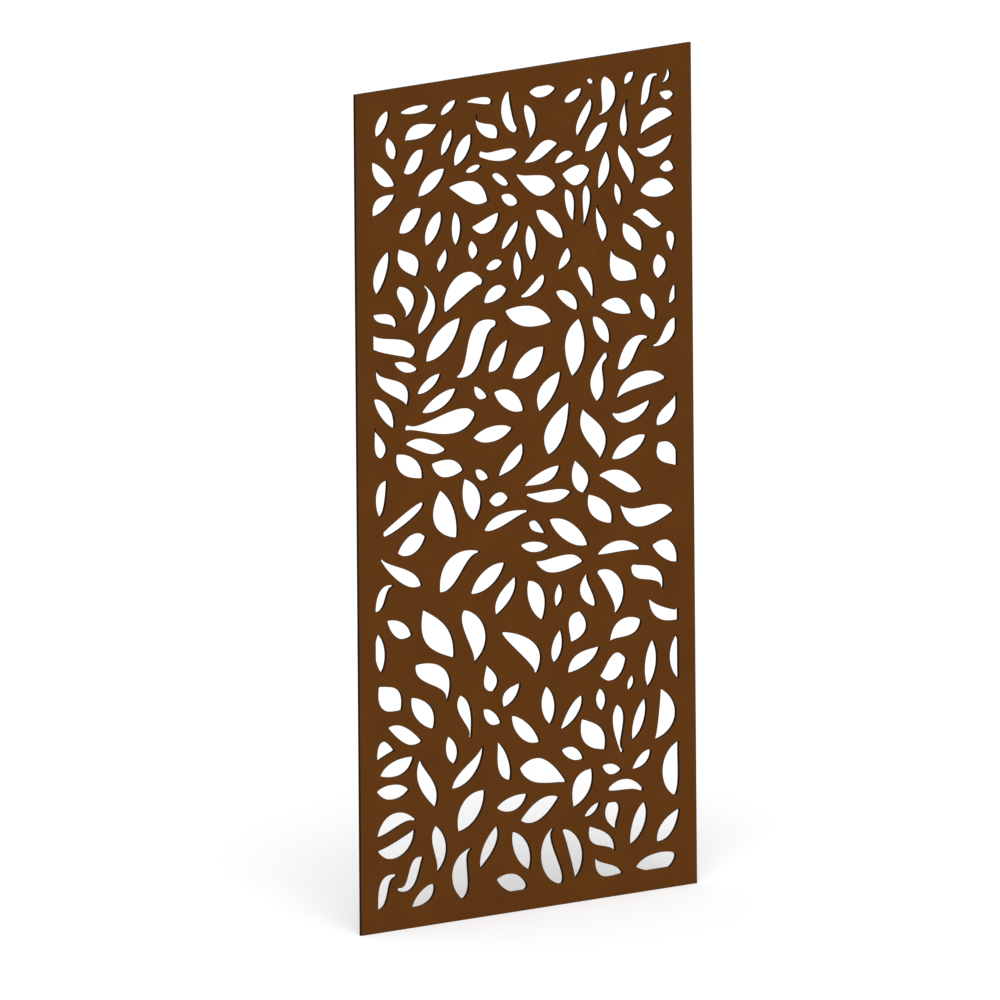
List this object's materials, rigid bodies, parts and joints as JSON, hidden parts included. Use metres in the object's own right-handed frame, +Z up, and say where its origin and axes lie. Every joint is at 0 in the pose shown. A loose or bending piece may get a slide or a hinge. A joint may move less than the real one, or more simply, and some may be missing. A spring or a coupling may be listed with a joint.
{
  "type": "decorative privacy screen panel",
  "caption": "Tall flat privacy screen panel pierced by scattered leaf-shaped openings inside a plain border, with brown faces on a dark core, for fixing to posts or in a frame.",
  "frame": {"origin": "middle of the bottom edge, halfway through the thickness", "axes": "+Z up along the height, +X along the width to the right seen from the front, front face towards -Y"},
  "size_m": [0.9144, 0.008, 1.8288],
  "materials": {
    "face_finish": "matt brown decorative laminate face",
    "core": "near-black laminate core, cut edges left bare"
  },
  "bodies": {
    "root": {"front_face_sheet": "face_finish", "core_board": "core", "rear_face_sheet": "face_finish"}
  },
  "joints": []
}
